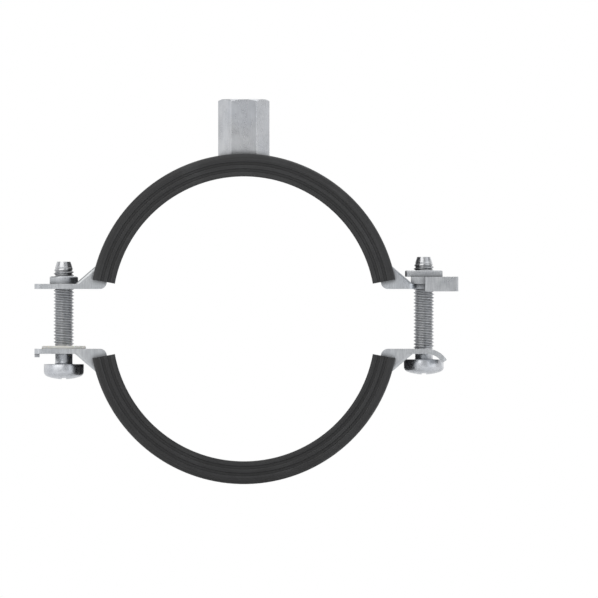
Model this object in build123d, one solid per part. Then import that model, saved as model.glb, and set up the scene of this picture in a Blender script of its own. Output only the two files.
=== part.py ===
from build123d import *
from math import asin, cos, degrees, radians, sin, sqrt
import os

# Two-screw pipe clamp with a rubber lining, in millimetres. The pipe lies along Y and its axis is
# the origin. Z is up, towards the hanging rod, and the ears of both halves reach out along X.
# The halves stand apart, as when the clamp is open and ready to go round a pipe.

# pipe seat and lining
seat_radius = 38.4          # free inside of the rubber, for a 76.1 mm pipe
lining_width = 24.0
lining_inside = 2.4         # rubber between the pipe and the band
lining_outside = 2.8        # lips that fold over the outside of the band
lining_end_angle = 10.5     # the rubber of each half starts this far above the half's own centre line
outer_corner = 1.5          # rounding of the lips at the sides
inner_corner = 0.7
slit_width = 1.25           # gap between the two lips
slit_rounding = 1.6
lip_groove_place = 5.95     # from the middle of the lining
lip_groove_width = 1.1
lip_groove_depth = 0.35
side_groove_width = 1.0
side_groove_depth = 0.3
side_groove_pitch = 2.0
seat_groove_count = 4       # grooves on the pipe side, which make the rubber soft
seat_groove_pitch = 4.8
seat_groove_width = 1.6
seat_groove_depth = 0.8

# steel band, the same strip in both halves
band_width = 20.0
band_thickness = 1.5
bend_inside = 0.5           # inside radius where the arch bends out into an ear
rim_height = 1.8            # edges of the strip turned outwards, above the web
rim_thickness = 1.8
gusset_reach = 7.7          # how far a gusset runs out on the ear, from the face of the web
gusset_rise = 6.65          # how far it climbs the arch, from the face of the ear
gusset_rounding = 0.85
half_gap = 6.6              # the lower half hangs this much below its closed place

# ears
ear_height = 5.45           # face that looks at the other half, above the half's own centre line
screw_stand_off = 7.6       # screws outside the round of the rubber
ear_overhang = 8.6          # left ears beyond the screw
ear_corner = 2.0
lip_drop = 1.0              # turned edge at the tip of the lower left ear
collar_radius = 4.15
collar_height = 2.2
collar_chamfer = 0.3
tongue_width = 11.0
tongue_start = 2.6          # the right upper ear narrows this far inside the screw
tongue_overhang = 9.2
tongue_chamfer = 2.6
tongue_root_rounding = 1.0
hook_slot = 8.05            # open slot of the right lower ear
hook_start = 0.8            # the prongs begin to curl this far beyond the screw
hook_outside = 7.0          # outside radius of the curl
hook_turn = 58.0            # degrees
prong_corner = 1.2

# screws
thread_radius = 3.0         # M6
thread_clearance = 0.05     # running fit in the tapped holes
through_clearance = 0.3
screw_length = 30.0         # from under the head to the tip
neck_radius = 2.55
neck_shoulder = 0.45        # cone from the neck up to the thread
tip_radius = 2.0
tip_length = 3.2
head_radius = 5.85
head_height = 4.45
head_dome = 1.25
head_rounding = 1.5
recess_span = 6.6
recess_width = 1.35
recess_depth = 2.5
recess_taper = 9.0
left_head_gap = 3.0         # from the lower ear down to the head
right_head_gap = 1.6

# retaining washer, on the neck of the left screw
washer_radius = 6.45
washer_thickness = 0.85
washer_chamfer = 0.2
washer_fit = 0.05
washer_play = 0.15          # below the first turn of the thread

# lock plate and nut on the tongue
lock_inner_reach = 3.8      # from the screw towards the ring
lock_outer_reach = 10.1
lock_width = 21.6
lock_neck_gap = 0.6         # between the narrower inner end and the gussets beside it
lock_thickness = 2.1
foot_start = 0.3            # feet begin this far beyond the screw
foot_depth = 2.2
foot_clearance = 0.15
lock_corner = 0.6
nut_length = 11.0
nut_width = 11.9
nut_thickness = 1.85
nut_corner = 0.8
nut_chamfer = 0.25

# hexagonal connection nut
hex_across_flats = 13.0
hex_height = 18.75          # above the crown of the band
hex_chamfer = 0.55
rod_radius = 4.0            # M8
rod_chamfer = 0.6           # countersink at both ends of the thread
hex_clearance = 0.3         # between the nut and the window in the lips

# how near a corner or an edge lies to the place where it is looked for
nearness = 0.01

# worked out from the sizes above
web_inner = seat_radius + lining_inside
web_outer = web_inner + band_thickness
lining_outer = web_outer + lining_outside
screw_offset = lining_outer + screw_stand_off
bend_outside = bend_inside + band_thickness
bend_angle = degrees(asin((ear_height + bend_outside) / (web_inner + bend_outside)))
bend_x = (web_inner + bend_outside) * cos(radians(bend_angle))
ear_top = ear_height + band_thickness
root_x = sqrt(web_outer**2 - ear_top**2)
ear_tip = screw_offset + ear_overhang
tongue_tip = screw_offset + tongue_overhang
neck_length = left_head_gap + band_thickness + washer_thickness + washer_play
lower_ear = -half_gap - ear_height
washer_base = lower_ear
screw_bearing = lower_ear - band_thickness


def half_ring(inner, outer, width):
    """Ring about the pipe axis, from the ear plane up."""
    ring = Cylinder(outer, width) - Cylinder(inner, width)
    ring = Rot(90, 0, 0) * ring
    above = Pos(0, 0, ear_height + band_thickness / 2) * Box(
        3 * outer, 2 * width, 2 * outer, align=(Align.CENTER, Align.CENTER, Align.MIN)
    )
    return ring & above


def strip_face(depth, hooked):
    """One face of the strip from ear to ear. Depth 0 is the face that looks at the pipe."""
    level = ear_height + depth
    bend = bend_outside - depth
    quarter = 90 - bend_angle
    left_ear = Line((-ear_tip, level), (-bend_x, level))
    left_bend = JernArc(left_ear @ 1, left_ear % 1, bend, quarter)
    arch = JernArc(left_bend @ 1, left_bend % 1, web_inner + depth, -2 * quarter)
    right_bend = JernArc(arch @ 1, arch % 1, bend, quarter)
    edges = [left_ear, left_bend, arch, right_bend]
    if hooked:
        right_ear = Line(right_bend @ 1, (screw_offset + hook_start, level))
        hook = JernArc(right_ear @ 1, right_ear % 1, hook_outside - depth, hook_turn)
        return edges + [right_ear, hook]
    return edges + [Line(right_bend @ 1, (tongue_tip, level))]


def strip(hooked):
    """The bent strip at its full width, before it is trimmed."""
    pipe_side = strip_face(0, hooked)
    outside = strip_face(band_thickness, hooked)
    left_end = Line(pipe_side[0] @ 0, outside[0] @ 0)
    right_end = Line(pipe_side[-1] @ 1, outside[-1] @ 1)
    section = make_face([*pipe_side, *outside, left_end, right_end])
    return extrude(Plane.XZ * section, band_width / 2, both=True)


def gusset():
    """Rounded web in the corner between arch and ear, one of four on a half."""
    peak = ear_top + gusset_rise
    foot = root_x + gusset_reach
    middle = ear_top - band_thickness / 2
    outline = Polyline((root_x, middle), (foot, middle), (foot, ear_top), (root_x, peak), close=True)
    body = extrude(Plane.XZ * make_face(outline), rim_thickness / 2, both=True)
    slope_length = sqrt(gusset_reach**2 + gusset_rise**2)
    slope = body.edges().filter_by(lambda edge: abs(edge.length - slope_length) < nearness)
    body = fillet(slope, gusset_rounding)
    return Pos(0, (band_width - rim_thickness) / 2, 0) * body


def edge_stiffeners():
    """The turned rims of the strip and their gussets on both ears."""
    rim = half_ring(web_outer - band_thickness / 2, web_outer + rim_height, rim_thickness)
    rim = Pos(0, (band_width - rim_thickness) / 2, 0) * rim
    right = gusset()
    one_edge = rim + right + mirror(right, Plane.YZ)
    return one_edge + mirror(one_edge, Plane.XZ)


def plan_prism(outline):
    """A plan outline made into a cutter that takes in the whole height of a half."""
    return extrude(outline, 2 * web_outer, both=True)


def rounded(outline, corners, radius):
    """Fillet the corners of an outline that lie at the given places, on either side of its X axis."""
    picked = [
        vertex
        for vertex in outline.vertices()
        if any(abs(vertex.X - x) < nearness and abs(abs(vertex.Y) - y) < nearness for x, y in corners)
    ]
    return fillet(picked, radius)


def upper_plan():
    """Full width to the tongue, which is narrow enough to pass between the feet of the lock plate."""
    root = screw_offset - tongue_start
    wide = Pos((root - ear_tip) / 2, 0) * Rectangle(root + ear_tip, band_width)
    tongue = Pos(tongue_tip / 2, 0) * Rectangle(tongue_tip, tongue_width)
    outline = wide + tongue
    outline = rounded(outline, [(-ear_tip, band_width / 2)], ear_corner)
    outline = rounded(outline, [(root, band_width / 2)], ear_corner)
    outline = rounded(outline, [(root, tongue_width / 2)], tongue_root_rounding)
    tip = [vertex for vertex in outline.vertices() if abs(vertex.X - tongue_tip) < nearness]
    return chamfer(tip, tongue_chamfer)


def lower_plan():
    """Full width, with the slot that lets the head of the right screw swing out."""
    reach = screw_offset + hook_start + hook_outside * sin(radians(hook_turn))
    outline = Pos((reach - ear_tip) / 2, 0) * Rectangle(reach + ear_tip, band_width)
    slot = Pos(screw_offset, 0) * Circle(hook_slot / 2)
    slot += Pos((screw_offset + reach) / 2, 0) * Rectangle(reach - screw_offset, hook_slot)
    outline -= slot
    outline = rounded(outline, [(-ear_tip, band_width / 2)], ear_corner)
    return rounded(outline, [(reach, band_width / 2), (reach, hook_slot / 2)], prong_corner)


def drill(x, radius):
    return Pos(x, 0, 0) * Cylinder(radius, 4 * ear_top)


def upper_band():
    band = (strip(False) + edge_stiffeners()) & plan_prism(upper_plan())
    collar = Pos(-screw_offset, 0, ear_height) * Cylinder(
        collar_radius, band_thickness + collar_height, align=(Align.CENTER, Align.CENTER, Align.MIN)
    )
    collar = chamfer(collar.edges().sort_by(Axis.Z)[-1], collar_chamfer)
    band += collar
    band -= drill(-screw_offset, thread_radius + thread_clearance)
    band -= drill(screw_offset, thread_radius + through_clearance)
    return band


def lower_band_as_upper():
    """The lower band drawn the other way up about its own centre, before it is turned over."""
    band = (strip(True) + edge_stiffeners()) & plan_prism(lower_plan())
    lip = Pos(-ear_tip, 0, ear_height) * Box(
        band_thickness,
        band_width - 2 * ear_corner,
        band_thickness + lip_drop,
        align=(Align.MIN, Align.CENTER, Align.MIN),
    )
    band += lip
    band -= drill(-screw_offset, thread_radius + through_clearance)
    return band


def turn_over(half):
    """Put a half drawn the way the upper one lies into the place of the lower one."""
    return Pos(0, 0, -half_gap) * mirror(half, Plane.XY)


def lining_profile():
    """Section of the rubber across the band: X is the radius, Y runs along the pipe."""
    middle = (seat_radius + lining_outer) / 2
    profile = Pos(middle, 0) * Rectangle(lining_outer - seat_radius, lining_width)
    profile = rounded(profile, [(lining_outer, lining_width / 2)], outer_corner)
    profile = rounded(profile, [(seat_radius, lining_width / 2)], inner_corner)
    profile -= Pos((web_outer + lining_outer) / 2, 0) * Rectangle(lining_outside, slit_width)
    profile = rounded(profile, [(lining_outer, slit_width / 2)], slit_rounding)
    lip_groove = Rectangle(2 * lip_groove_depth, lip_groove_width)
    side_groove = Rectangle(side_groove_width, 2 * side_groove_depth)
    for side in (-1, 1):
        profile -= Pos(lining_outer, side * lip_groove_place) * lip_groove
        for step in (-0.5, 0.5):
            radius = web_inner + step * side_groove_pitch + side_groove_width / 2
            profile -= Pos(radius, side * lining_width / 2) * side_groove
    for number in range(seat_groove_count):
        across = (number - (seat_groove_count - 1) / 2) * seat_groove_pitch
        profile -= Pos(seat_radius, across) * Rectangle(2 * seat_groove_depth, seat_groove_width)
    return profile


def lining(band):
    """Rubber of one half, moulded round its band and slit along the outside to be pushed on."""
    sweep_angle = 180 - 2 * lining_end_angle
    rubber = revolve(lining_profile(), Axis.Y, sweep_angle)
    rubber = Rot(0, lining_end_angle - 180, 0) * rubber
    return rubber - band


def hexagon(clearance):
    """The hexagon from the pipe axis up, with the part inside the band's face taken away."""
    outline = RegularPolygon(hex_across_flats / 2 + clearance, 6, major_radius=False)
    prism = extrude(outline, web_outer + hex_height)
    return prism - Rot(90, 0, 0) * Cylinder(web_outer, 4 * hex_across_flats)


def threaded_boss():
    """Connection nut with chamfered corners, shaped to the band that it is welded to."""
    upright = (Align.CENTER, Align.CENTER, Align.MIN)
    top = web_outer + hex_height
    corner = hex_across_flats / sqrt(3)
    bar = Cylinder(corner, top, align=upright)
    bar = chamfer(bar.edges().sort_by(Axis.Z)[-1], hex_chamfer, 2 * hex_chamfer)
    bore = Cylinder(rod_radius, top, align=upright)
    wide = rod_radius + rod_chamfer
    bore += Pos(0, 0, top - rod_chamfer) * Cone(rod_radius, wide, rod_chamfer, align=upright)
    foot_height = 2 * rod_chamfer
    foot = Cone(rod_radius + foot_height, rod_radius, foot_height, align=upright)
    bore += Pos(0, 0, web_outer - rod_chamfer) * foot
    return (hexagon(0) & bar) - bore


def cap_screw():
    """Pan head screw with a cross recess, its bearing face on Z 0 and its tip up."""
    crown = ThreePointArc(
        (0, -head_height),
        (head_radius / 2, -head_height + head_dome / 4),
        (head_radius, -head_height + head_dome),
    )
    body = Polyline(
        crown @ 1,
        (head_radius, 0),
        (neck_radius, 0),
        (neck_radius, neck_length),
        (thread_radius, neck_length + neck_shoulder),
        (thread_radius, screw_length - tip_length),
        (tip_radius, screw_length),
        (0, screw_length),
        crown @ 0,
    )
    section = make_face([crown, *body.edges()])
    section = rounded(section, [(head_radius, head_height - head_dome)], head_rounding)
    screw = revolve(Plane.XZ * section, Axis.Z)
    cross = Rectangle(recess_span, recess_width) + Rectangle(recess_width, recess_span)
    recess = extrude(Pos(0, 0, -head_height) * cross, recess_depth, taper=recess_taper)
    return screw - recess


def retaining_washer():
    """Plastic washer pressed over the thread on to the neck, which keeps the left screw in its ear."""
    washer = Cylinder(washer_radius, washer_thickness, align=(Align.CENTER, Align.CENTER, Align.MIN))
    washer = chamfer(washer.edges().sort_by(Axis.Z)[-1], washer_chamfer)
    washer -= Cylinder(neck_radius + washer_fit, 3 * washer_thickness)
    return Pos(-screw_offset, 0, washer_base) * washer


def lock_plate():
    """Plate under the nut, with a foot each side of the tongue so that it can't turn."""
    inner = screw_offset - lock_inner_reach
    outer = screw_offset + lock_outer_reach
    foot_x = screw_offset + foot_start
    neck_width = band_width - 2 * (rim_thickness + lock_neck_gap)
    middle = (Align.MIN, Align.CENTER, Align.MIN)
    plate = Pos(foot_x, 0, ear_top) * Box(outer - foot_x, lock_width, lock_thickness, align=middle)
    plate += Pos(inner, 0, ear_top) * Box(foot_x - inner, neck_width, lock_thickness, align=middle)
    foot_inner = tongue_width / 2 + foot_clearance
    foot = Pos(foot_x, foot_inner, ear_top) * Box(
        outer - foot_x, lock_width / 2 - foot_inner, foot_depth, align=(Align.MIN, Align.MIN, Align.MAX)
    )
    plate = plate + foot + mirror(foot, Plane.XZ)
    upright = plate.edges().filter_by(Axis.Z)
    far = [edge for edge in upright if abs(abs(edge.center().Y) - lock_width / 2) < nearness]
    plate = fillet(far, lock_corner)
    return plate - drill(screw_offset, thread_radius + through_clearance)


def square_nut():
    """Plate nut with its thread on the right screw."""
    nut = Pos(screw_offset, 0, ear_top + lock_thickness) * Box(
        nut_length, nut_width, nut_thickness, align=(Align.CENTER, Align.CENTER, Align.MIN)
    )
    nut = fillet(nut.edges().filter_by(Axis.Z), nut_corner)
    nut = chamfer(nut.faces().sort_by(Axis.Z)[-1].edges(), nut_chamfer)
    return nut - drill(screw_offset, thread_radius + thread_clearance)


def build():
    upper = upper_band()
    lower = lower_band_as_upper()
    screw = cap_screw()
    return {
        "upper_band": upper,
        "lower_band": turn_over(lower),
        "upper_rubber_lining": lining(upper) - hexagon(hex_clearance),
        "lower_rubber_lining": turn_over(lining(lower)),
        "threaded_boss": threaded_boss(),
        "left_screw": Pos(-screw_offset, 0, screw_bearing - left_head_gap) * screw,
        "right_screw": Pos(screw_offset, 0, screw_bearing - right_head_gap) * screw,
        "retaining_washer": retaining_washer(),
        "lock_plate": lock_plate(),
        "square_nut": square_nut(),
    }


os.makedirs("parts", exist_ok=True)
for name, shape in build().items():
    export_step(shape, f"parts/{name}.step")
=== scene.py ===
import math

import bmesh
import bpy
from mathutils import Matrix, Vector


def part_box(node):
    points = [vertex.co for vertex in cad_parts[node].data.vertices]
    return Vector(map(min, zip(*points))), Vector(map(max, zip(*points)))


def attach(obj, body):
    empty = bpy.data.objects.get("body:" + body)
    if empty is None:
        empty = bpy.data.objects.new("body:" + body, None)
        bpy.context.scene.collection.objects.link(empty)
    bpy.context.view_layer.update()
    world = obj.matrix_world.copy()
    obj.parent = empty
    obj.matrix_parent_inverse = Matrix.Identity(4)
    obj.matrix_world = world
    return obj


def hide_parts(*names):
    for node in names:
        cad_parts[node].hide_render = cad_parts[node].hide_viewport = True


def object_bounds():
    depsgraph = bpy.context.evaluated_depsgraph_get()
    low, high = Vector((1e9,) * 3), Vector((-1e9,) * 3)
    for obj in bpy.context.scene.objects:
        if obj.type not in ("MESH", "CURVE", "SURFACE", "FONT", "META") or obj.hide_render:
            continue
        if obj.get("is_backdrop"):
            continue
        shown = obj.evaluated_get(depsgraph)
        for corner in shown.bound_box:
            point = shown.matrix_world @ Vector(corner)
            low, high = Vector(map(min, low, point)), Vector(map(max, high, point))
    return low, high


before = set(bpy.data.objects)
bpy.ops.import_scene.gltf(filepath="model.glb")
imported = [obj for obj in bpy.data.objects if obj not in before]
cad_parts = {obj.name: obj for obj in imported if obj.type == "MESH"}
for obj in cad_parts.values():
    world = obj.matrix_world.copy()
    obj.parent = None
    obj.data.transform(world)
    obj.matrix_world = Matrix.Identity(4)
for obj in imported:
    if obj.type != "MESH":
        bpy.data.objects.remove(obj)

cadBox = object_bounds()
print("clamp loaded:", ", ".join(sorted(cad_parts)))


# short ways to build a shader tree

def newMaterial(name):
    material = bpy.data.materials.new(name)
    material.use_nodes = True
    tree = material.node_tree
    return material, tree, tree.nodes["Principled BSDF"]


def addNode(tree, kind, inputs=None, **settings):
    made = tree.nodes.new(kind)
    for key, value in settings.items():
        setattr(made, key, value)
    for key, value in (inputs or {}).items():
        if hasattr(value, "is_output"):
            tree.links.new(value, made.inputs[key])
        else:
            made.inputs[key].default_value = value
    return made


def mathNode(tree, operation, first, second=0.0, clamp=False):
    made = addNode(tree, "ShaderNodeMath", {0: first, 1: second}, operation=operation, use_clamp=clamp)
    return made.outputs[0]


def plus(tree, first, second):
    return mathNode(tree, "ADD", first, second)


def times(tree, first, second, clamp=False):
    return mathNode(tree, "MULTIPLY", first, second, clamp)


def noise(tree, vector, scale=1.0, detail=3.0, roughness=0.55):
    inputs = {"Vector": vector, "Scale": scale, "Detail": detail, "Roughness": roughness}
    return addNode(tree, "ShaderNodeTexNoise", inputs).outputs["Fac"]


def remap(tree, value, fromRange, toRange=(0.0, 1.0), **settings):
    inputs = {"Value": value, "From Min": fromRange[0], "From Max": fromRange[1],
              "To Min": toRange[0], "To Max": toRange[1]}
    return addNode(tree, "ShaderNodeMapRange", inputs, **settings).outputs["Result"]


def mixColour(tree, amount, first, second):
    # its sockets 6 and 7 and its output 2 are the ones for colour
    made = addNode(tree, "ShaderNodeMix", {0: amount, 6: first, 7: second}, data_type="RGBA")
    return made.outputs[2]


def mixShader(tree, amount, first, second):
    return addNode(tree, "ShaderNodeMixShader", {0: amount, 1: first, 2: second}).outputs[0]


def rayKinds(tree):
    # 1 for what the camera sees, and 1 for what metal mirrors or anything clear lets through
    path = addNode(tree, "ShaderNodeLightPath")
    glossy = path.outputs["Is Glossy Ray"]
    through = path.outputs["Is Transmission Ray"]
    return path.outputs["Is Camera Ray"], mathNode(tree, "MAXIMUM", glossy, through)


def partCoordinates(tree):
    return addNode(tree, "ShaderNodeTexCoord").outputs["Object"]


def splitXYZ(tree, vector):
    split = addNode(tree, "ShaderNodeSeparateXYZ", {0: vector})
    return split.outputs[0], split.outputs[1], split.outputs[2]


def stretched(tree, place, factors):
    # a scale for each direction, for a noise that is longer one way
    x, y, z = [times(tree, value, factor) for value, factor in zip(place, factors)]
    return addNode(tree, "ShaderNodeCombineXYZ", {0: x, 1: y, 2: z}).outputs[0]


def bumpOn(tree, height, look, rounded):
    inputs = {"Height": height, "Strength": look["bumpStrength"],
              "Distance": look["bumpDepth"], "Normal": rounded}
    return addNode(tree, "ShaderNodeBump", inputs).outputs[0]


# edges and grooves, found by the shader for every finish
maskShape = {
    "edgeSamples": 6,
    "edgeTurn": (1.0, 0.8),             # cosine of the turn, on a flat and on a full edge
    "creviceSamples": 8,
    "creviceOpenness": (0.95, 0.45),    # in the open, and down in a groove
}


def roundedSurface(tree, radius):
    made = addNode(tree, "ShaderNodeBevel", {"Radius": radius}, samples=maskShape["edgeSamples"])
    return made.outputs[0]


def edgeMask(tree, rounded):
    # 0 on flats, towards 1 where the surface turns over an edge
    flat = addNode(tree, "ShaderNodeNewGeometry").outputs["Normal"]
    along = addNode(tree, "ShaderNodeVectorMath", {0: rounded, 1: flat}, operation="DOT_PRODUCT")
    return remap(tree, along.outputs["Value"], maskShape["edgeTurn"])


def creviceMask(tree, reach, alone=True):
    # 0 in the open, towards 1 in grooves and where two faces meet, an occlusion mask with which the
    # finishes paint shade; alone leaves the neighbours out
    openness = addNode(tree, "ShaderNodeAmbientOcclusion", {"Distance": reach},
                       samples=maskShape["creviceSamples"], only_local=alone)
    return remap(tree, openness.outputs["AO"], maskShape["creviceOpenness"])


# places for a finish that runs round the ring: length round it, place across the width, radius
ringShape = {
    "endAngle": 10.5,                   # degrees from the parting line to the end of a lining
    "middleRadius": 0.042,              # where the length round the ring is a true one
}
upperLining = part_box("upper_rubber_lining")
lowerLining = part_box("lower_rubber_lining")
outerRadius = upperLining[1].x / math.cos(math.radians(ringShape["endAngle"]))
lowerCentre = lowerLining[0].z + outerRadius


def aroundRing(tree, centreZ):
    x, y, z = splitXYZ(tree, partCoordinates(tree))
    z = mathNode(tree, "SUBTRACT", z, centreZ)
    radius = mathNode(tree, "SQRT", plus(tree, times(tree, x, x), times(tree, z, z)))
    angle = mathNode(tree, "ARCTAN2", z, x)
    return times(tree, angle, ringShape["middleRadius"]), y, radius


def upperRing(tree):
    return aroundRing(tree, 0.0)


def lowerRing(tree):
    return aroundRing(tree, lowerCentre)


def straight(tree):
    return splitXYZ(tree, partCoordinates(tree))


# zinc plate on the rolled strip of both bands
bandLook = {
    "dark": (0.56, 0.58, 0.60, 1),
    "light": (0.71, 0.73, 0.75, 1),
    "cloudScale": 160.0,
    "cloudRange": (0.35, 0.65),
    "tint": (0.60, 0.64, 0.72, 1),
    "tintAmount": 0.55,
    "tintScale": 60.0,
    "tintRange": (0.45, 0.75),
    "lineTone": (0.46, 0.48, 0.51, 1),
    "lineColour": 0.35,
    "lineStretch": (60.0, 2600.0, 900.0),
    "lineHeight": 0.6,
    "lineRough": (-0.05, 0.06),
    "grainScale": 5200.0,
    "grainHeight": 0.35,
    "fullRange": (0.3, 0.7),            # nearly all of what a noise gives
    "edge": (0.82, 0.84, 0.86, 1),
    "edgeRadius": 0.00022,
    "edgeShine": 0.8,
    "edgePolish": 0.06,
    # painted shade in grooves and where faces meet; with the rubber lips counted it also darkens the slot
    # under them, and it roughens there
    "creviceShadeTone": (0.17, 0.175, 0.18, 1),
    "creviceReach": 0.0018,
    "creviceShadeAndDull": 0.85,
    "creviceRough": 0.15,
    "creviceAlone": False,
    "shearTone": (0.40, 0.41, 0.43, 1),
    "shearAmount": 0.55,                # 0 where nothing was cut by a press
    "shearStretch": (3600.0, 400.0, 260.0),
    "shearRange": (0.35, 0.65),
    "shearFacing": (0.90, 0.97),        # how squarely a cut face looks along the pipe
    "roughness": (0.27, 0.40),
    "bumpStrength": 0.7,
    "bumpDepth": 0.00004,
}
# drawn bar, for the hexagonal nut
hexLook = dict(bandLook, shearAmount=0.0, dark=(0.58, 0.59, 0.61, 1), light=(0.74, 0.75, 0.77, 1),
               lineStretch=(2400.0, 2400.0, 70.0), lineHeight=0.8, roughness=(0.24, 0.34),
               edgeRadius=0.0003)
# pressed plate, for the lock plate and its nut
plateLook = dict(bandLook, dark=(0.50, 0.52, 0.54, 1), light=(0.69, 0.70, 0.715, 1),
                 tint=(0.62, 0.64, 0.67, 1), cloudScale=240.0, lineStretch=(500.0, 1500.0, 500.0),
                 roughness=(0.24, 0.40), edgeRadius=0.0003)
# the screws paint shade only from their own shape, in the cross recess and the thread
screwLook = dict(bandLook, shearAmount=0.0, dark=(0.60, 0.61, 0.63, 1), light=(0.78, 0.79, 0.81, 1),
                 tint=(0.64, 0.68, 0.76, 1), cloudScale=420.0, lineStretch=(700.0, 700.0, 700.0),
                 lineColour=0.2, roughness=(0.23, 0.36), edgeRadius=0.00012, creviceReach=0.0008,
                 creviceShadeAndDull=0.80, creviceAlone=True)


def zincSteel(name, look, coordinates):
    material, tree, shader = newMaterial(name)
    plain = partCoordinates(tree)
    full = look["fullRange"]
    drawn = stretched(tree, coordinates(tree), look["lineStretch"])
    lines = noise(tree, drawn, detail=4.0, roughness=0.6)
    clouds = noise(tree, plain, look["cloudScale"], detail=4.0, roughness=0.6)
    grain = noise(tree, plain, look["grainScale"], detail=2.0, roughness=0.5)
    tint = noise(tree, plain, look["tintScale"], detail=2.0, roughness=0.5)
    rounded = roundedSurface(tree, look["edgeRadius"])
    edge = edgeMask(tree, rounded)
    crevice = creviceMask(tree, look["creviceReach"], look["creviceAlone"])
    # one amount for painted shade in the colour and for more roughness in the same places
    shadeAndDull = times(tree, crevice, look["creviceShadeAndDull"], clamp=True)

    colour = mixColour(tree, remap(tree, clouds, look["cloudRange"]), look["dark"], look["light"])
    tinted = remap(tree, tint, look["tintRange"], (0.0, look["tintAmount"]))
    colour = mixColour(tree, tinted, colour, look["tint"])
    colour = mixColour(tree, remap(tree, lines, full, (0.0, look["lineColour"])), colour, look["lineTone"])
    colour = mixColour(tree, times(tree, edge, look["edgeShine"], clamp=True), colour, look["edge"])
    # painted shade: darker in grooves and where parts meet
    colour = mixColour(tree, shadeAndDull, colour, look["creviceShadeTone"])
    height = plus(tree, times(tree, lines, look["lineHeight"]), times(tree, grain, look["grainHeight"]))
    if look["shearAmount"]:
        # streaks across the thickness, where the press cut the strip along its edges
        facing = splitXYZ(tree, addNode(tree, "ShaderNodeNewGeometry").outputs["Normal"])[1]
        cut = remap(tree, mathNode(tree, "ABSOLUTE", facing), look["shearFacing"])
        across = stretched(tree, splitXYZ(tree, plain), look["shearStretch"])
        streaks = noise(tree, across, roughness=0.6)
        streaks = times(tree, remap(tree, streaks, look["shearRange"]), cut)
        colour = mixColour(tree, times(tree, streaks, look["shearAmount"]), colour, look["shearTone"])
        height = mathNode(tree, "SUBTRACT", height, streaks)
    tree.links.new(colour, shader.inputs["Base Color"])
    shader.inputs["Metallic"].default_value = 1.0

    rough = remap(tree, clouds, full, look["roughness"])
    rough = plus(tree, rough, remap(tree, lines, full, look["lineRough"]))
    rough = mathNode(tree, "SUBTRACT", rough, times(tree, edge, look["edgePolish"]))
    rough = plus(tree, rough, times(tree, shadeAndDull, look["creviceRough"]))
    tree.links.new(rough, shader.inputs["Roughness"])
    tree.links.new(bumpOn(tree, height, look, rounded), shader.inputs["Normal"])
    return material


rubberLook = {
    "deep": (0.022, 0.022, 0.023, 1),
    "worn": (0.050, 0.050, 0.052, 1),
    "wornAmount": 0.6,
    "bloom": (0.115, 0.118, 0.122, 1),
    "bloomAmount": 0.30,
    "bloomScale": 95.0,
    "bloomRange": (0.48, 0.78),
    # painted shade for the grooves, darker than the rubber itself
    "grooveShade": (0.006, 0.006, 0.0065, 1),
    "grooveShadeAmount": 0.9,
    "creviceReach": 0.0011,
    "edgeRadius": 0.0004,
    "edgeBloom": 0.35,
    "lineStretch": (35.0, 2300.0, 2300.0),
    "lineHeight": 0.7,
    "grainScale": 6500.0,
    "grainHeight": 0.5,
    "fullRange": (0.3, 0.7),
    "roughness": (0.50, 0.68),
    "specular": 0.42,
    "sheen": 0.12,
    "sheenRoughness": 0.45,
    "bumpStrength": 0.75,
    "bumpDepth": 0.00005,
}


def liningRubber(name, look, coordinates):
    material, tree, shader = newMaterial(name)
    plain = partCoordinates(tree)
    full = look["fullRange"]
    # lines left by the extruder's die
    drawn = noise(tree, stretched(tree, coordinates(tree), look["lineStretch"]), roughness=0.5)
    grain = noise(tree, plain, look["grainScale"], roughness=0.6)
    bloom = noise(tree, plain, look["bloomScale"], detail=5.0, roughness=0.65)
    rounded = roundedSurface(tree, look["edgeRadius"])
    edge = edgeMask(tree, rounded)

    worn = remap(tree, drawn, full, (0.0, look["wornAmount"]))
    colour = mixColour(tree, worn, look["deep"], look["worn"])
    bloomed = remap(tree, bloom, look["bloomRange"], (0.0, look["bloomAmount"]))
    colour = mixColour(tree, bloomed, colour, look["bloom"])
    colour = mixColour(tree, times(tree, edge, look["edgeBloom"], clamp=True), colour, look["bloom"])
    grooveShade = times(tree, creviceMask(tree, look["creviceReach"]), look["grooveShadeAmount"], clamp=True)
    colour = mixColour(tree, grooveShade, colour, look["grooveShade"])      # painted shade down in the grooves, darker than the bare rubber, and no bloom there
    tree.links.new(colour, shader.inputs["Base Color"])
    tree.links.new(remap(tree, bloom, full, look["roughness"]), shader.inputs["Roughness"])
    shader.inputs["Specular IOR Level"].default_value = look["specular"]
    shader.inputs["Sheen Weight"].default_value = look["sheen"]
    shader.inputs["Sheen Roughness"].default_value = look["sheenRoughness"]

    height = plus(tree, times(tree, drawn, look["lineHeight"]), times(tree, grain, look["grainHeight"]))
    tree.links.new(bumpOn(tree, height, look, rounded), shader.inputs["Normal"])
    return material


nylonLook = {
    "clear": (0.80, 0.785, 0.73, 1),
    "milky": (0.90, 0.89, 0.86, 1),
    "cloudScale": 500.0,
    "cloudRange": (0.3, 0.7),
    "grainScale": 4500.0,
    "roughness": (0.36, 0.50),
    "subsurface": 0.35,
    "subsurfaceRadius": (0.9, 0.8, 0.6),
    "subsurfaceScale": 0.0008,
    "bumpStrength": 0.5,
    "bumpDepth": 0.00003,
    "edgeRadius": 0.0002,
}


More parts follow.
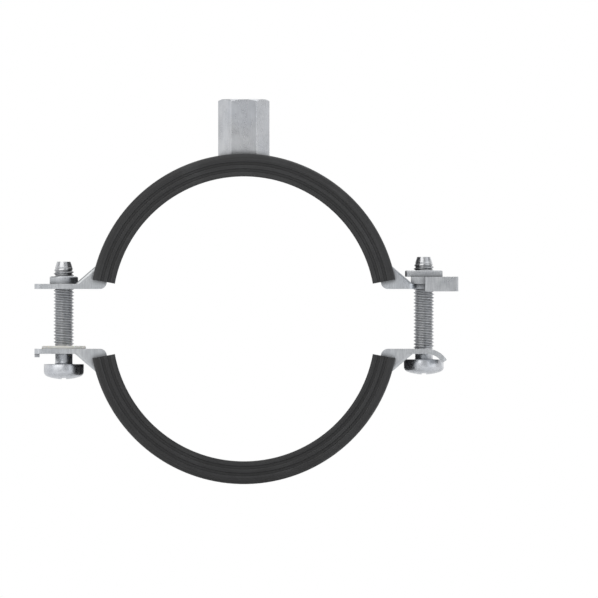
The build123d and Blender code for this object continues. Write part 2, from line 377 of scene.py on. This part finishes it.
def washerNylon(name, look):
    material, tree, shader = newMaterial(name)
    plain = partCoordinates(tree)
    clouds = noise(tree, plain, look["cloudScale"])
    grain = noise(tree, plain, look["grainScale"], detail=2.0)
    colour = mixColour(tree, remap(tree, clouds, look["cloudRange"]), look["clear"], look["milky"])
    tree.links.new(colour, shader.inputs["Base Color"])
    tree.links.new(remap(tree, clouds, look["cloudRange"], look["roughness"]), shader.inputs["Roughness"])
    shader.inputs["Subsurface Weight"].default_value = look["subsurface"]
    shader.inputs["Subsurface Radius"].default_value = look["subsurfaceRadius"]
    shader.inputs["Subsurface Scale"].default_value = look["subsurfaceScale"]
    rounded = roundedSurface(tree, look["edgeRadius"])
    tree.links.new(bumpOn(tree, grain, look, rounded), shader.inputs["Normal"])
    return material


def dress(node, material):
    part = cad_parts[node]
    part.data.materials.clear()
    part.data.materials.append(material)


dress("upper_band", zincSteel("zincStripUpper", bandLook, upperRing))
dress("lower_band", zincSteel("zincStripLower", bandLook, lowerRing))
dress("threaded_boss", zincSteel("zincHexBar", hexLook, straight))
dress("lock_plate", zincSteel("zincPressing", plateLook, straight))
dress("square_nut", zincSteel("zincPlateNut", plateLook, straight))
dress("upper_rubber_lining", liningRubber("liningRubberUpper", rubberLook, upperRing))
dress("lower_rubber_lining", liningRubber("liningRubberLower", rubberLook, lowerRing))
dress("retaining_washer", washerNylon("washerNylon", nylonLook))
print("materials on the packed parts")


# short ways to make a mesh and put it in the scene

def closedMesh(name, body):
    bmesh.ops.recalc_face_normals(body, faces=body.faces)
    mesh = bpy.data.meshes.new(name)
    body.to_mesh(mesh)
    body.free()
    return mesh


def addObject(name, data):
    made = bpy.data.objects.new(name, data)
    bpy.context.scene.collection.objects.link(made)
    return made


# both screws, with a real thread and a cross recess
screwShape = {
    "length": 0.030,                    # bearing face to tip
    "headHeight": 0.00445,
    "domeHeight": 0.00125,
    "domeSteps": 12,
    "headRounding": 0.0015,
    "roundingSteps": 8,
    "bearingEdge": 0.00018,
    "edgeBulge": 0.3,                   # share of that edge, at the middle of its curve
    "neckRadius": 0.00255,
    "neckFillet": 0.00036,
    "filletBulge": 0.25,
    "threadRadius": 0.003,              # M6
    "threadDepth": 0.00054,
    "pitch": 0.001,
    "crestFlat": 0.125,                 # of the pitch
    "rootFlat": 0.25,
    "shoulder": 0.00045,                # over which the thread grows out of the neck
    "washerPlay": 0.00015,              # between the washer and the first turn
    "tipLength": 0.0032,
    "tipRadius": 0.002,
    "recessSpan": 0.0066,
    "recessWidth": 0.00135,
    "recessDepth": 0.0025,
    "recessTaper": 9.0,
    "recessStart": 0.0005,              # in front of the crown, where the cutter begins
    "sides": 60,
    "stepsPerTurn": 14,
    "sharpAngle": 28,
}


def headOutline(shape, headRadius):
    # radius and height, from the middle of the crown over the dome and the rounded edge to the neck
    dome = (headRadius**2 + shape["domeHeight"]**2) / (2 * shape["domeHeight"])
    domeCentre = dome - shape["headHeight"]
    rounding = shape["headRounding"]
    inner = headRadius - rounding
    roundingZ = domeCentre - math.sqrt((dome - rounding)**2 - inner**2)
    meets = inner * dome / (dome - rounding)
    points = []
    for step in range(1, shape["domeSteps"] + 1):
        radius = meets * step / shape["domeSteps"]
        points.append((radius, domeCentre - math.sqrt(dome**2 - radius**2)))
    start = math.atan2(domeCentre - roundingZ, inner)
    for step in range(1, shape["roundingSteps"] + 1):
        angle = -start * (1 - step / shape["roundingSteps"])
        points.append((inner + rounding * math.cos(angle), roundingZ + rounding * math.sin(angle)))
    edge = shape["bearingEdge"]
    edgeMiddle = edge * shape["edgeBulge"]
    points += [(headRadius, -edge), (headRadius - edgeMiddle, -edgeMiddle), (headRadius - edge, 0.0)]
    neck = shape["neckRadius"]
    fillet = shape["neckFillet"]
    filletMiddle = fillet * shape["filletBulge"]
    points += [(neck + fillet, 0.0), (neck + filletMiddle, filletMiddle), (neck, fillet)]
    return points


def radiusOnThread(shape, z, angle):
    # 60 degree thread, right hand, cut down from the outer radius
    turn = (z / shape["pitch"] - angle / (2 * math.pi)) % 1.0
    fromCrest = min(turn, 1.0 - turn)
    crest = shape["crestFlat"] / 2
    root = 0.5 - shape["rootFlat"] / 2
    share = min(1.0, max(0.0, (fromCrest - crest) / (root - crest)))
    return shape["threadRadius"] - shape["threadDepth"] * share


def screwMesh(shape, headRadius, neckEnd):
    neck = shape["neckRadius"]
    major = shape["threadRadius"]
    sides = shape["sides"]
    angles = [2 * math.pi * side / sides for side in range(sides)]
    body = bmesh.new()

    def ring(z, radii):
        return [body.verts.new((radius * math.cos(angle), radius * math.sin(angle), z))
                for radius, angle in zip(radii, angles)]

    rings = [ring(z, [radius] * sides) for radius, z in headOutline(shape, headRadius)]
    rings.append(ring(neckEnd, [neck] * sides))
    tipStart = shape["length"] - shape["tipLength"]
    slope = (major - shape["tipRadius"]) / shape["tipLength"]
    step = shape["pitch"] / shape["stepsPerTurn"]
    z = neckEnd + step
    while z < shape["length"] - step / 2:
        grown = neck + (major - neck) * (z - neckEnd) / shape["shoulder"]
        limit = min(major, grown, major - slope * max(0.0, z - tipStart))
        rings.append(ring(z, [min(limit, radiusOnThread(shape, z, angle)) for angle in angles]))
        z += step
    tipEnd = min(shape["tipRadius"], major - shape["threadDepth"])
    rings.append(ring(shape["length"], [tipEnd] * sides))

    crown = body.verts.new((0, 0, -shape["headHeight"]))
    tip = body.verts.new((0, 0, shape["length"]))
    for side in range(sides):
        following = (side + 1) % sides
        body.faces.new((crown, rings[0][following], rings[0][side]))
        body.faces.new((tip, rings[-1][side], rings[-1][following]))
        for lower, upper in zip(rings, rings[1:]):
            body.faces.new((lower[side], lower[following], upper[following], upper[side]))
    return closedMesh("screwMesh", body)


def recessCutter(shape):
    # tapered cross, wide at the crown
    cutter = bmesh.new()

    def cross(depth):
        narrowing = 2 * depth * math.tan(math.radians(shape["recessTaper"]))
        a = (shape["recessSpan"] - narrowing) / 2
        b = (shape["recessWidth"] - narrowing) / 2
        corners = [(a, -b), (a, b), (b, b), (b, a), (-b, a), (-b, b),
                   (-a, b), (-a, -b), (-b, -b), (-b, -a), (b, -a), (b, -b)]
        return [cutter.verts.new((x, y, depth - shape["headHeight"])) for x, y in corners]

    outer = cross(-shape["recessStart"])
    inner = cross(shape["recessDepth"])
    cutter.faces.new(outer)
    cutter.faces.new(list(reversed(inner)))
    for index in range(len(outer)):
        following = (index + 1) % len(outer)
        cutter.faces.new((outer[index], outer[following], inner[following], inner[index]))
    return closedMesh("recessCutter", cutter)


def makeScrew(name, node, body, material, threadStart):
    low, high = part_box(node)
    headRadius = (high.x - low.x) / 2
    place = Vector(((high.x + low.x) / 2, (high.y + low.y) / 2, high.z - screwShape["length"]))
    screw = addObject(name, screwMesh(screwShape, headRadius, threadStart - place.z))
    cutter = addObject(name + "Cutter", recessCutter(screwShape))
    cut = screw.modifiers.new("recess", "BOOLEAN")
    cut.operation = "DIFFERENCE"
    cut.solver = "EXACT"
    cut.object = cutter
    ready = bpy.data.meshes.new_from_object(screw.evaluated_get(bpy.context.evaluated_depsgraph_get()))
    screw.modifiers.clear()
    screw.data = ready
    bpy.data.objects.remove(cutter)
    screw.location = place
    ready.shade_smooth()
    ready.set_sharp_from_angle(angle=math.radians(screwShape["sharpAngle"]))
    ready.materials.clear()
    ready.materials.append(material)
    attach(screw, body)
    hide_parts(node)


screwMaterial = zincSteel("zincScrew", screwLook, straight)
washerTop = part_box("retaining_washer")[1].z + screwShape["washerPlay"]
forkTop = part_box("lower_band")[1].z     # the right screw has its thread down to here
makeScrew("leftScrew", "left_screw", "left_screw_body", screwMaterial, washerTop)
makeScrew("rightScrew", "right_screw", "right_screw_body", screwMaterial, forkTop)
print("screws cut")


# the thread inside the hexagonal nut
bossThread = {
    "wall": 0.004,                      # M8
    "pitch": 0.00125,
    "depth": 0.00065,
    "overlap": 0.00004,                 # of a ridge into the wall
    "footHalf": 0.43,                   # half a ridge's width at the wall, of the pitch
    "crestHalf": 0.06,
    "runOut": 0.05,                     # of the depth, left at both ends
    "mouth": 0.0009,                    # below the top face, where the chamfer ends
    "rimHeight": 0.0018,                # the band's rims over its strip
    "start": 0.0016,                    # above the strip
    "sides": 48,
    "sharpAngle": 30,
}


def makeBossThread(shape, material):
    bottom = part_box("upper_band")[1].z - shape["rimHeight"] + shape["start"]
    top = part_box("threaded_boss")[1].z - shape["mouth"]
    wall = shape["wall"]
    pitch = shape["pitch"]
    sides = shape["sides"]
    foot = wall + shape["overlap"]
    crest = wall - shape["depth"]
    section = [(foot, -shape["footHalf"]), (crest, -shape["crestHalf"]),
               (crest, shape["crestHalf"]), (foot, shape["footHalf"])]
    count = int((top - bottom) / pitch * sides)
    coil = bmesh.new()
    rows = []
    for step in range(count + 1):
        angle = 2 * math.pi * step / sides
        z = bottom + pitch * step / sides
        grown = min(1.0, step / sides + shape["runOut"], (count - step) / sides + shape["runOut"])
        row = []
        for full, along in section:
            radius = wall + (full - wall) * grown
            place = (radius * math.cos(angle), radius * math.sin(angle), z + along * pitch)
            row.append(coil.verts.new(place))
        rows.append(row)
    for first, second in zip(rows, rows[1:]):
        for index in range(len(section)):
            following = (index + 1) % len(section)
            coil.faces.new((first[index], first[following], second[following], second[index]))
    coil.faces.new(rows[0])
    coil.faces.new(list(reversed(rows[-1])))
    mesh = closedMesh("bossThread", coil)
    mesh.shade_smooth()
    mesh.set_sharp_from_angle(angle=math.radians(shape["sharpAngle"]))
    mesh.materials.append(material)
    thread = addObject("bossThread", mesh)
    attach(thread, "upper_half")


makeBossThread(bossThread, screwMaterial)
print("nut threaded")


white = (1.0, 1.0, 1.0, 1)              # the page behind the clamp

floorLook = {
    "size": 3.0,
    "drop": 0.0023,                     # under the lowest point, so the lower half can travel
    "tones": ((0.86, 0.86, 0.855, 1), (0.88, 0.88, 0.88, 1)),
    "cloudScale": 14.0,
    "cloudRange": (0.3, 0.7),
    "roughness": 0.85,
    "paleness": 0.35,                   # share of white under the clamp
    "fade": (0.05, 0.235),              # distances between which it grows to all white
    "mirroredShare": 0.45,              # how much of that white the metal shows
}


def paleFloor(look):
    material, tree, shader = newMaterial("paleFloor")
    plain = partCoordinates(tree)
    cloud = remap(tree, noise(tree, plain, look["cloudScale"]), look["cloudRange"])
    tree.links.new(mixColour(tree, cloud, *look["tones"]), shader.inputs["Base Color"])
    shader.inputs["Roughness"].default_value = look["roughness"]
    seen, mirrored = rayKinds(tree)
    shown = mathNode(tree, "MAXIMUM", seen, times(tree, mirrored, look["mirroredShare"]))
    # to the eye, and in part in the metal, it runs out into the white background with no horizon
    away = addNode(tree, "ShaderNodeVectorMath", {0: plain}, operation="LENGTH").outputs["Value"]
    fade = remap(tree, away, look["fade"], (look["paleness"], 1.0), interpolation_type="SMOOTHSTEP")
    page = addNode(tree, "ShaderNodeEmission", {"Color": white, "Strength": 1.0}).outputs[0]
    mixed = mixShader(tree, times(tree, fade, shown), shader.outputs[0], page)
    # and it is clear from below, so that the underside of the clamp can be looked at
    backFace = addNode(tree, "ShaderNodeNewGeometry").outputs["Backfacing"]
    clear = addNode(tree, "ShaderNodeBsdfTransparent").outputs[0]
    mixed = mixShader(tree, times(tree, backFace, seen), mixed, clear)
    tree.links.new(mixed, tree.nodes["Material Output"].inputs["Surface"])
    material.cycles.emission_sampling = "NONE"          # its white is only to be seen, and lights nothing
    return material


def makeFloor(look):
    half = look["size"] / 2
    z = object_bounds()[0].z - look["drop"]
    mesh = bpy.data.meshes.new("floor")
    corners = [(-half, -half, z), (half, -half, z), (half, half, z), (-half, half, z)]
    mesh.from_pydata(corners, [], [(0, 1, 2, 3)])
    mesh.materials.append(paleFloor(look))
    floor = addObject("floor", mesh)
    floor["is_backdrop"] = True


# what the metal mirrors is a grey studio: height from 0 below to 1 above, and how bright it is there
worldLook = {
    "levels": ((0.0, 0.45), (0.40, 0.50), (0.50, 0.62), (0.56, 0.80),
               (0.66, 0.70), (0.74, 0.22), (0.88, 0.34), (1.0, 0.42)),
    "leftToRight": (1.12, 0.72),
    "frontToBack": (0.84, 1.12),
    "backStart": 0.2,                   # full level from here on towards the back
    "fillTint": (0.97, 0.985, 1.0, 1),
    "fillLight": 0.42,
}


def makeWorld(look):
    # white to the eye, the grey studio in what is mirrored, an even fill light for the rest
    world = bpy.data.worlds.new("studioWorld")
    bpy.context.scene.world = world
    world.use_nodes = True
    tree = world.node_tree
    tree.nodes.clear()
    x, y, z = splitXYZ(tree, addNode(tree, "ShaderNodeTexCoord").outputs["Generated"])
    ramp = addNode(tree, "ShaderNodeValToRGB", {"Fac": remap(tree, z, (-1.0, 1.0))})
    stops = ramp.color_ramp.elements
    stops.remove(stops[1])
    for index, (height, level) in enumerate(look["levels"]):
        stop = stops.new(height) if index else stops[0]
        stop.color = (level, level, level, 1)
    side = remap(tree, x, (-1.0, 1.0), look["leftToRight"])
    front = remap(tree, y, (-1.0, look["backStart"]), look["frontToBack"])

    def background(colour, strength):
        return addNode(tree, "ShaderNodeBackground", {"Color": colour, "Strength": strength}).outputs[0]

    seen, mirrored = rayKinds(tree)
    even = background(look["fillTint"], look["fillLight"])
    mixed = mixShader(tree, mirrored, even, background(ramp.outputs[0], times(tree, side, front)))
    mixed = mixShader(tree, seen, mixed, background(white, 1.0))
    addNode(tree, "ShaderNodeOutputWorld", {0: mixed})


lamps = {
    "keySoftbox": dict(place=(-0.42, -0.55, 0.52), size=0.90, power=2.85, tint=(1.0, 0.985, 0.96)),
    "fillSoftbox": dict(place=(0.60, -0.50, 0.20), size=0.70, power=0.95, tint=(0.96, 0.98, 1.0)),
    "topSoftbox": dict(place=(0.10, 0.25, 0.75), size=0.85, power=1.65, tint=(1.0, 1.0, 1.0)),
    "backSoftbox": dict(place=(0.35, 0.65, 0.35), size=1.05, power=1.60, tint=(1.0, 0.99, 0.97)),
}


def makeLamp(name, lamp):
    light = bpy.data.lights.new(name, "AREA")
    light.shape = "SQUARE"
    light.size = lamp["size"]
    light.energy = lamp["power"]
    light.color = lamp["tint"]
    softbox = addObject(name, light)
    softbox.location = lamp["place"]
    aim = (cadBox[0] + cadBox[1]) / 2
    softbox.rotation_euler = (aim - Vector(lamp["place"])).to_track_quat("-Z", "Y").to_euler()


# straight front view, with the clamp up and to the left of the middle of the frame
frontView = {
    "width": 0.1751,
    "centreX": 0.01615,
    "centreZ": 0.00252,
    "distance": 0.8,
    "clipStart": 0.01,
    "clipEnd": 10.0,
}


def makeCamera(view):
    data = bpy.data.cameras.new("frontView")
    data.type = "ORTHO"
    data.ortho_scale = view["width"]
    data.clip_start = view["clipStart"]
    data.clip_end = view["clipEnd"]
    camera = addObject("frontView", data)
    camera.location = (view["centreX"], -view["distance"], view["centreZ"])
    camera.rotation_euler = (math.radians(90), 0, 0)
    bpy.context.scene.camera = camera


makeFloor(floorLook)
makeWorld(worldLook)
for name, lamp in lamps.items():
    makeLamp(name, lamp)
makeCamera(frontView)
bpy.context.scene.view_settings.view_transform = "Standard"
print("studio ready")
